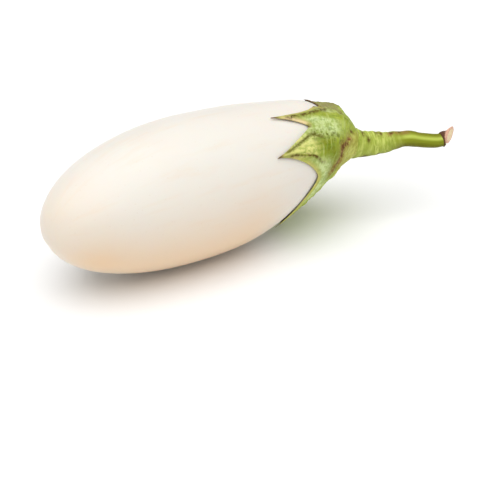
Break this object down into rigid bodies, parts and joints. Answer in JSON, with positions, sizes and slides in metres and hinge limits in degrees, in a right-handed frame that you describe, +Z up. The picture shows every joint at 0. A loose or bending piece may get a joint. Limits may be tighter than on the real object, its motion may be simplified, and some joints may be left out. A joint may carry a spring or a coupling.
{
  "type": "eggplant",
  "caption": "Whole ivory-white eggplant as picked, lying on its side, with a pointed green leafy cap and a short curved green stem",
  "frame": {"origin": "centre of the small flat spot that the fruit rests on", "axes": "+X along the fruit from the blossom end to the stem, +Z up, away from the surface it lies on"},
  "size_m": [0.2218, 0.0708, 0.0687],
  "materials": {
    "skin": "smooth ivory-white skin with a soft waxy sheen",
    "calyx": "matte yellow-green leafy cap with brown scars and dark ridges",
    "stem": "half-matte green stem with fine cross wrinkles, brown spots and a dry tan cut end"
  },
  "bodies": {
    "root": {"fruit": "skin", "calyx": "calyx", "stem": "stem"}
  },
  "joints": []
}
